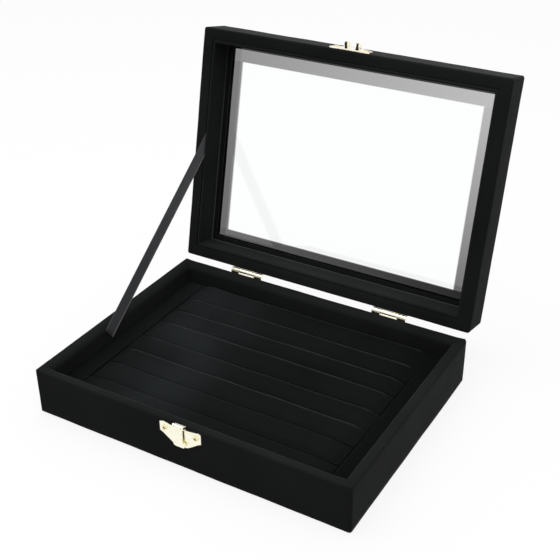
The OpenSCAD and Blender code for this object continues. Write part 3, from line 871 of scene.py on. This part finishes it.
class RINGBOX_OT_ring_rolls(bpy.types.Operator):
    """Foam rolls in velvet, swollen with the cloth solver and squeezed unevenly"""
    bl_idname = "ring_box.ring_rolls"
    bl_label = "Ring Rolls"

    # How far each slit between two rolls lies off its even place in the photograph, in mm,
    # from the front wall to the back wall
    SLITS = (0.0, 0.6, 0.8, 0.4, -0.9, 1.0, -0.8, -1.8, -0.8)
    # Strength of the painted highlight along the back edge before each slit, from 0 to 1
    EDGE_HIGHLIGHTS = (0, 0, 0.05, 0.6, 0.35, 0.55, 0.85, 0.6, 0.3)
    # Length in mm, at the left and at the right end, over which the edges of a slit die away
    DIES = ((5, 9), (14, 12), (6, 14), (4, 10), (12, 5), (9, 7), (12, 8), (5, 6), (5, 6))
    # Rounding of an edge where it has died away, and the share of the shoulder at the back
    TIGHT, BACK_SHARE = 0.3 * MM, 0.8
    # How far the top sinks at the ends of a roll, and over which length
    END_SINK, END_L = 0.6 * MM, 12 * MM
    # Places from the back edge to the front edge where the top has a row of points
    TOP_PLACES = (0.04, 0.1, 0.2, 0.35, 0.5, 0.65, 0.8, 0.9)
    # Share of a roll's height that stays in its slot, and how far the rest spreads
    FOOT, SPREAD = 0.3, 0.1 * MM
    # Height and length of the waves along a slit
    WAVE_H, WAVE_L = 0.35 * MM, 22 * MM
    # The painted highlight along the back edge: its breadth, the length of its patches and the
    # height it begins at
    RUB_W, RUB_L, RUB_FROM = 2.2 * MM, 9 * MM, 0.7

    def execute(self, context):
        for number, node in enumerate(ROLLS):
            slits = [s * MM for s in self.SLITS[number:number + 2]]
            self.roll(context, node, number, slits)
        return {"FINISHED"}

    def roll(self, context, node, number, slits):
        settings = context.scene.ring_box_rolls
        low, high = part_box(node)
        bm = self.form(low, high, number, settings)
        obj = new_piece(f"roll_{number + 1}_velvet", bm, "black_roll_velvet", None)
        self.uneven(obj, number)
        fill_pad(obj, settings.swell_cap)
        self.settle(obj, low, high, number, slits)
        obj.data.shade_smooth()
        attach(obj, "base")
        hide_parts(node)

    def form(self, low, high, number, settings):
        """A roll before it is filled: edges that stand out in its middle and die away to
        the level of the cheeks at its ends."""
        bm = bmesh.new()
        middle = (low + high) / 2
        reach, end_r = (high.x - low.x) / 2, settings.end_round
        places = [(s * (reach - end_r), 0) for s in
                  spaced(2 * (reach - end_r), settings.mesh_size, 1.0 * MM, 14 * MM)]
        ends = [(reach - end_r * (1 - math.sin(a)), end_r * (1 - math.cos(a)))
                for a in (math.radians(45), math.radians(90))]
        places = [(-x, inset) for x, inset in reversed(ends)] + places + ends
        rings = []
        for x, inset in places:
            outline = self.section(high - low, number, x, inset, settings)
            rings.append([bm.verts.new((middle.x + x, middle.y + y, low.z + z))
                          for y, z in outline])
        bridge(bm, zip(rings, rings[1:]))
        for ring in (rings[0], rings[-1]):
            cap = bm.faces.new(ring)
            bmesh.ops.inset_individual(bm, faces=[cap], thickness=2 * MM)
        bmesh.ops.recalc_face_normals(bm, faces=bm.faces)
        return bm

    def alive(self, slit, x, reach):
        """How far the edges of a slit stand out at a place along it, from 0 to 1."""
        length = self.DIES[slit][x > 0] * MM
        return smooth(clamp((reach - abs(x) - 2 * MM) / length))

    def section(self, size, number, x, inset, settings):
        """Points round a roll at one place along it, from its back foot over its top."""
        reach, half = size.x / 2, size.y / 2 - settings.slack - inset
        front, back = self.alive(number, x, reach), self.alive(number + 1, x, reach)
        front_r = self.TIGHT + (settings.shoulder - self.TIGHT) * front
        back_r = self.TIGHT + (settings.shoulder * self.BACK_SHARE - self.TIGHT) * back
        end = min(1.0, (reach - abs(x)) / self.END_L)
        top = size.z - self.END_SINK * (1 - smooth(end)) - settings.lip / 2 - inset
        lip = settings.lip * back
        rear = curve_points((half - back_r, top + lip - back_r), (back_r, back_r), 0, 80, 5)
        fore = curve_points((front_r - half, top - front_r), (front_r, front_r), 100, 180, 5)
        points = steps((half, 0), rear[0], 5)[:-1] + rear
        for t in self.TOP_PLACES:
            rise = lip * (1 - t) ** 4 + settings.middle_rise * end * 4 * t * (1 - t)
            points.append((rear[-1][0] + (fore[0][0] - rear[-1][0]) * t, top + rise))
        points += fore + steps(fore[-1], (-half, 0), 5)[1:]
        return points + steps((-half, 0), (half, 0), 5)[1:-1]

    def uneven(self, obj, number):
        """Foam cut by hand is a little thicker here and thinner there."""
        for v in obj.data.vertices:
            wave = noise.noise(Vector((v.co.x / (30 * MM), number * 5.3, v.co.z / (20 * MM))))
            v.co += v.normal * wave * 0.2 * MM

    def settle(self, obj, low, high, number, slits):
        """Keeps a roll in its own slot, moves its upper half to the slits beside it, and
        paints a highlight along its back lip."""
        pile = paint_light_and_shade(obj)
        depth = high.y - low.y
        for v in obj.data.vertices:
            share = clamp((v.co.y - low.y) / depth)
            rise = (v.co.z - low.z) / (high.z - low.z)
            above = smooth(clamp((rise - self.FOOT) / (1 - self.FOOT)))
            v.co.y = low.y + share * depth + (2 * share - 1) * above * self.SPREAD
            v.co.x = clamp(v.co.x, low.x, high.x)
            v.co.z = clamp(v.co.z, low.z, high.z + PAD_RISE)
            shifts = []
            for place, slit in ((low.y, slits[0]), (high.y, slits[1])):
                wave = noise.noise(Vector((v.co.x / self.WAVE_L, place * 90, 0)))
                shifts.append(slit + self.WAVE_H * wave * (slit != 0))
            v.co.y += (shifts[0] * (1 - share) + shifts[1] * share) * above
            # Painted highlight along the back edge, in the red of the "pile" colours
            highlight = max(0.0, 1.1 - (1 - share) * depth / self.RUB_W)
            highlight *= self.alive(number + 1, v.co.x, high.x) * self.EDGE_HIGHLIGHTS[number + 1]
            highlight *= 1 + 0.6 * noise.noise(Vector((v.co.x / self.RUB_L, number * 4.1, 0)))
            pile.data[v.index].color[0] = min(1.0, highlight) * (rise > self.RUB_FROM)


class RINGBOX_OT_lid(bpy.types.Operator):
    """Velvet of the lid with its window border, and the liner strips that hold the glass"""
    bl_idname = "ring_box.lid"
    bl_label = "Lid"

    def execute(self, context):
        settings = context.scene.ring_box_velvet
        bm = sweep_frame(lid_profile(), CORNER_R)
        fold_corners(bm, LID_HIGH.z, settings.fold)
        soften(bm, settings.ripple, 22 * MM, 6)
        for v in bm.verts:
            v.co.z = max(v.co.z, LID_LOW.z - RIM_SWELL)
        bm.transform(LID_OPEN)
        new_piece("lid_velvet", bm, "black_cotton_velvet", "lid",
                  ["lid_cover"])
        for number, side in enumerate(("front", "back", "left", "right")):
            thickness = LINER_LEFT_T if side == "left" else LINER_T
            bm = sweep_frame(liner_profile(thickness), 0.0)
            split_sides(bm, side)
            soften(bm, settings.ripple * 0.5, 16 * MM, 7 + number)
            bm.transform(LID_OPEN)
            new_piece(f"liner_{side}_velvet", bm, "black_insert_velvet", "lid",
                      [f"lid_liner_{side}"])
        return {"FINISHED"}


class RINGBOX_OT_glass(bpy.types.Operator):
    """Clear pane of the lid"""
    bl_idname = "ring_box.glass"
    bl_label = "Glass"

    def execute(self, context):
        bm = block(GLASS_HIGH - GLASS_LOW - Vector((0, 0, 2 * SKIN_LAP)))
        bmesh.ops.bevel(bm, geom=bm.edges[:], offset=0.3 * MM, segments=2, affect="EDGES")
        obj = new_piece("window_glass", bm, "clear_float_glass", None,
                        ["glass_pane"])
        obj.matrix_world = LID_OPEN @ Matrix.Translation((GLASS_LOW + GLASS_HIGH) / 2)
        for face in obj.data.polygons:
            face.use_smooth = False
        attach(obj, "lid")
        return {"FINISHED"}


class RINGBOX_OT_fittings(bpy.types.Operator):
    """Brass hinges, latch and catch with their screws and pins"""
    bl_idname = "ring_box.fittings"
    bl_label = "Brass Fittings"

    # The cross in a screw head: its depth from and to, and how far it reaches from the middle
    CROSS_FROM, CROSS_TO, CROSS_REACH = 0.05 * MM, 0.6 * MM, 1.35 * MM
    # The inside of a loop: its depth, half its breadth, and the plate left at its back
    LOOP_FROM, LOOP_HALF, LOOP_PLATE = 0.3 * MM, 0.8 * MM, 0.9 * MM

    def execute(self, context):
        settings = context.scene.ring_box_brass
        for name in frame["nodes"]:
            if not name.startswith(("hinge", "latch", "catch")):
                continue
            screws = "screws" in name
            obj = dress(name, "brass_screw_heads" if screws else "brass_plated_steel")
            # A dark material for painted shade in the crosses of the screws and inside the loops
            obj.data.materials.append(bpy.data.materials["unplated_recess"])
            if screws or name.startswith("catch"):
                self.shade_recesses(obj, name)
            obj.data.shade_smooth()
            add_modifier(obj, "BEVEL", width=settings.edge_round, segments=2,
                         limit_method="ANGLE", angle_limit=math.radians(50),
                         harden_normals=True)
        return {"FINISHED"}

    def shade_recesses(self, obj, name):
        """Painted shade: the cross in a screw head and the inside of a loop get the dark recess
        material.
        """
        turn = LID_OPEN.to_3x3() if name.startswith(("catch", "hinge_lid")) else Matrix.Identity(3)
        out = turn @ Vector((0, 1 if name.startswith("hinge") else -1, 0))
        places = [v.co for v in obj.data.vertices]
        heights = [p.dot(out) for p in places]
        top = max(heights)
        middles = self.middles([p for p, h in zip(places, heights) if h > top - 0.3 * MM])
        for face in obj.data.polygons:
            centre = face.center
            depth = top - centre.dot(out)
            middle = min(middles, key=lambda m: abs(m.x - centre.x))
            if "screws" in name:
                around = [places[i] - middle for i in face.vertices]
                recess = self.CROSS_FROM < depth < self.CROSS_TO and all(
                    (p - out * p.dot(out)).length < self.CROSS_REACH for p in around)
            else:
                recess = self.LOOP_FROM < depth < top - min(heights) - self.LOOP_PLATE
                recess = recess and abs(centre.x - middle.x) < self.LOOP_HALF
            if recess:
                face.material_index = 1

    def middles(self, high):
        """Middle of each group of points that stand out together, groups 2 mm apart."""
        groups = []
        for p in sorted(high, key=lambda p: p.x):
            if not groups or p.x - groups[-1][-1].x > 2 * MM:
                groups.append([])
            groups[-1].append(p)
        return [sum(extent(group), Vector()) / 2 for group in groups]


class RINGBOX_OT_ribbon(bpy.types.Operator):
    """Ribbon that holds the lid open, glued to the left walls"""
    bl_idname = "ring_box.ribbon"
    bl_label = "Ribbon Stay"

    def execute(self, context):
        low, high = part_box("ribbon_stay")
        places = [v.co for v in frame["nodes"]["ribbon_stay"].data.vertices]
        start, end, width = self.measure(places)
        along = end - start
        length = along.length
        across = Vector((0, -along.z, along.y)).normalized() * width / 2
        thick = high.x - low.x
        bm = bmesh.new()
        uv = bm.loops.layers.uv.new("UVMap")
        rows, columns = round(length / (2.5 * MM)), 6
        sides = []
        for offset in (0, thick):
            grid = []
            for i in range(rows + 1):
                line = []
                for j in range(columns + 1):
                    s, t = i / rows, j / columns * 2 - 1
                    edge = thick * 0.35 * abs(t) ** 6
                    x = low.x + offset + (edge if offset == 0 else -edge)
                    place = start + along * s + across * t
                    line.append(bm.verts.new((x, place.y, place.z)))
                grid.append(line)
            sides.append(grid)
        self.skin(bm, sides, rows, columns)
        for face in bm.faces:
            for loop in face.loops:
                p = loop.vert.co - start
                loop[uv].uv = (p.dot(across) / across.length, p.dot(along) / length)
        bmesh.ops.recalc_face_normals(bm, faces=bm.faces)
        piece = new_piece("ribbon_strip", bm, "woven_polyester_ribbon", None,
                          ["ribbon_stay"])
        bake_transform(piece)
        return {"FINISHED"}

    def measure(self, places):
        """Ends of the middle line and width of the flat strip, from its corners."""
        corners = sorted({(round(p.y, 6), round(p.z, 6)) for p in places})
        points = [Vector((0, y, z)) for y, z in corners]
        points.sort(key=lambda p: p.y + p.z)
        start, end = sum(points[:2], Vector()) / 2, sum(points[-2:], Vector()) / 2
        return start, end, (points[0] - points[1]).length

    def skin(self, bm, sides, rows, columns):
        """Both faces of the strip and the four edges between them."""
        near, far = sides
        for grid in sides:
            for i in range(rows):
                for j in range(columns):
                    bm.faces.new((grid[i][j], grid[i + 1][j], grid[i + 1][j + 1], grid[i][j + 1]))
        for i in range(rows):
            for j in (0, columns):
                bm.faces.new((near[i][j], near[i + 1][j], far[i + 1][j], far[i][j]))
        for j in range(columns):
            for i in (0, rows):
                bm.faces.new((near[i][j], near[i][j + 1], far[i][j + 1], far[i][j]))


class RINGBOX_OT_materials(bpy.types.Operator):
    """Materials of all the pieces"""
    bl_idname = "ring_box.materials"
    bl_label = "Materials"

    def execute(self, context):
        brass = context.scene.ring_box_brass
        velvet_material("black_cotton_velvet", "121313", "1B1C1C", 0.15)
        # The roll velvet's marks: painted highlight on the back edges, painted lighter patch,
        # painted shade at the ends
        velvet_material("black_roll_velvet", "060707", "0D0F0F", 0.2,
                        ("3A3C3C", "1B1E1F", "040505"))
        velvet_material("black_insert_velvet", "161717", "1E2020", 0.12)
        velvet_material("flocked_paper", "101111", "1B1C1C", 0.2)
        brass_material("brass_plated_steel", "FFFCEC", "F9F2D4", brass.roughness)
        brass_material("brass_screw_heads", "FBF3D2", "EFE2B6", brass.roughness * 1.2)
        # Painted shade in the crosses of the screws and inside the loops
        brass_material("unplated_recess", "5A4B2E", "3A2F1C", 0.6)
        greyboard_material()
        float_glass_material()
        ribbon_material()
        return {"FINISHED"}


class RINGBOX_PT_panel(bpy.types.Panel):
    """Sizes, colours and steps of the ring box"""
    bl_idname = "RINGBOX_PT_panel"
    bl_label = "Ring Display Box"
    bl_space_type = "VIEW_3D"
    bl_region_type = "UI"
    bl_category = "Ring Box"

    def draw(self, context):
        for name, group in SETTINGS:
            box = self.layout.box()
            owner = getattr(context.scene, name)
            for prop in group.__annotations__:
                box.prop(owner, prop)
        for step in STEPS:
            self.layout.operator(step.bl_idname)


SETTINGS = (
    ("ring_box_stage", StageSettings),
    ("ring_box_velvet", VelvetSettings),
    ("ring_box_rolls", RollSettings),
    ("ring_box_glass", GlassSettings),
    ("ring_box_brass", BrassSettings),
    ("ring_box_ribbon", RibbonSettings),
)
STEPS = (
    RINGBOX_OT_stage,
    RINGBOX_OT_materials,
    RINGBOX_OT_base_cover,
    RINGBOX_OT_underside,
    RINGBOX_OT_insert,
    RINGBOX_OT_ring_rolls,
    RINGBOX_OT_lid,
    RINGBOX_OT_glass,
    RINGBOX_OT_fittings,
    RINGBOX_OT_ribbon,
)


def register():
    for name, group in SETTINGS:
        bpy.utils.register_class(group)
        setattr(bpy.types.Scene, name, PointerProperty(type=group))
    for step in STEPS:
        bpy.utils.register_class(step)
    bpy.utils.register_class(RINGBOX_PT_panel)


def unregister():
    bpy.utils.unregister_class(RINGBOX_PT_panel)
    for step in reversed(STEPS):
        bpy.utils.unregister_class(step)
    for name, group in reversed(SETTINGS):
        delattr(bpy.types.Scene, name)
        bpy.utils.unregister_class(group)


def main():
    register()
    for step in STEPS:
        group, name = step.bl_idname.split(".")
        getattr(getattr(bpy.ops, group), name)()


if __name__ == "__main__":
    main()
